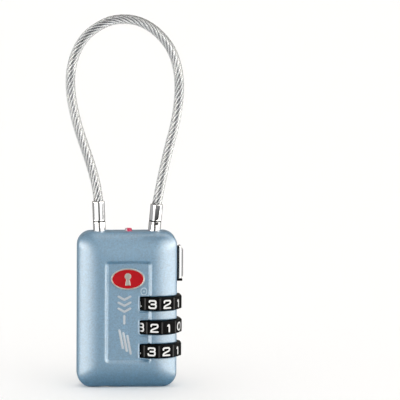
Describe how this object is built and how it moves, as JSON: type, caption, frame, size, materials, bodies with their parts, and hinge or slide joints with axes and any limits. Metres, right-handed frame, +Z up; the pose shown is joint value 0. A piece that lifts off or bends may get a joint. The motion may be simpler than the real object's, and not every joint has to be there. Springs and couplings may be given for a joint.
{
  "type": "padlock",
  "caption": "Compact luggage padlock with number dials on one side, a side slider, a keyed override at the bottom and a clear-covered wire-rope shackle.",
  "frame": {"origin": "middle of the flat bottom face", "axes": "+X toward the dial side, +Y toward the back, +Z up through the shackle loop"},
  "size_m": [0.0372, 0.0156, 0.1173],
  "materials": {
    "body_paint": "satin metallic steel-blue paint with a fine flake",
    "die_cast": "raw grey zinc casting",
    "dial_black": "satin black moulding with white inlaid digits",
    "brass": "turned and drawn brass",
    "steel": "zinc-plated steel",
    "spring_steel": "bright drawn spring wire",
    "chrome": "polished chrome plate",
    "rope_steel": "galvanised stranded wire rope",
    "clear_jacket": "clear flexible vinyl jacket",
    "badge_enamel": "red enamel in a bright metal rim",
    "indicator_red": "moulded red plastic"
  },
  "bodies": {
    "case": {"front_cover": "body_paint", "back_cover": "body_paint", "inner_frame": "die_cast", "cover_rivets": "steel", "front_badge": "badge_enamel", "click_spring": "brass", "slider_spring": "spring_steel", "latch_spring": "spring_steel", "indicator_spring": "spring_steel", "fixed_post": "chrome", "fixed_ferrule": "chrome", "post_pin": "steel", "wire_rope": "rope_steel", "cable_jacket": "clear_jacket"},
    "dial_1": {"dial_1": "dial_black", "dial_sleeve_1": "brass"},
    "dial_2": {"dial_2": "dial_black", "dial_sleeve_2": "brass"},
    "dial_3": {"dial_3": "dial_black", "dial_sleeve_3": "brass"},
    "slider": {"slider_button": "chrome", "slider_carriage": "steel", "dial_spindle": "steel"},
    "latch": {"latch_bolt": "steel"},
    "shackle_end": {"release_plug": "chrome", "free_ferrule": "chrome"},
    "indicator": {"alert_indicator": "indicator_red"},
    "key_core": {"key_cylinder": "chrome", "key_wafers": "brass", "key_cam": "steel"}
  },
  "joints": [
    {"name": "dial_1_turn", "type": "hinge", "parent": "case", "child": "dial_1", "pos_m": [0.0096, 0, 0.01183], "axis": [0, 0, 1], "continuous": true},
    {"name": "dial_2_turn", "type": "hinge", "parent": "case", "child": "dial_2", "pos_m": [0.0096, 0, 0.01933], "axis": [0, 0, 1], "continuous": true},
    {"name": "dial_3_turn", "type": "hinge", "parent": "case", "child": "dial_3", "pos_m": [0.0096, 0, 0.02683], "axis": [0, 0, 1], "continuous": true},
    {"name": "slider_push", "type": "slide", "parent": "case", "child": "slider", "axis": [0, 0, -1], "range_m": [0, 0.003], "stiffness_N_per_m": 150, "springref_m": -0.006, "deforming": ["slider_spring"]},
    {"name": "latch_retract", "type": "slide", "parent": "case", "child": "latch", "axis": [-1, 0, 0], "range_m": [0, 0.0021], "deforming": ["latch_spring"]},
    {"name": "shackle_release", "type": "slide", "parent": "case", "child": "shackle_end", "axis": [0.0924, 0, 0.9957], "range_m": [0, 0.012], "deforming": ["cable_jacket", "wire_rope"]},
    {"name": "indicator_press", "type": "slide", "parent": "case", "child": "indicator", "axis": [0, 0, -1], "range_m": [0, 0.0008], "stiffness_N_per_m": 30, "springref_m": -0.002, "deforming": ["indicator_spring"]},
    {"name": "key_turn", "type": "hinge", "parent": "case", "child": "key_core", "pos_m": [-0.007, 0, 0.0072], "axis": [0, 0, 1], "range_deg": [0, 90]}
  ],
  "couplings": [
    {"joint": "latch_retract", "follows": "slider_push", "ratio": 0.7},
    {"joint": "shackle_release", "follows": "slider_push", "ratio": 4}
  ]
}
